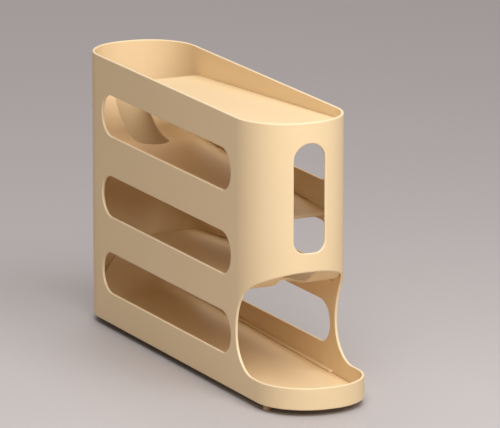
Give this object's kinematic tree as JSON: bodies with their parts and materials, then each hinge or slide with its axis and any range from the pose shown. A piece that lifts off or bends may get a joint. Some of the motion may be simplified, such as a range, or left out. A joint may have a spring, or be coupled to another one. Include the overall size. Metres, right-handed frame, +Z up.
{
  "type": "egg storage container",
  "caption": "Tall narrow round-ended egg storage container with sloping ramps stacked in a slotted sleeve, so eggs roll down to a low open tray at the front.",
  "frame": {"origin": "on the floor, under the middle of the whole plan of the shell and its tray", "axes": "+Z up, +Y from the tray at the front to the closed back, +X to the right as seen from the front"},
  "size_m": [0.085, 0.368, 0.2155],
  "materials": {
    "shell_plastic": "satin moulded cream plastic",
    "ramp_plastic": "satin moulded cream plastic",
    "foot_rubber": "soft matt cream rubber"
  },
  "bodies": {
    "shell": {"outer_shell": "shell_plastic", "second_ramp": "ramp_plastic", "third_ramp": "ramp_plastic", "base_ramp": "ramp_plastic", "foot_front_left": "foot_rubber", "foot_front_right": "foot_rubber", "foot_rear_left": "foot_rubber", "foot_rear_right": "foot_rubber"},
    "lift_out_ramp": {"top_ramp": "ramp_plastic"}
  },
  "joints": [
    {"name": "top_ramp_lift", "type": "slide", "parent": "shell", "child": "lift_out_ramp", "axis": [0, 0, 1], "range_m": [0, 0.08]}
  ]
}
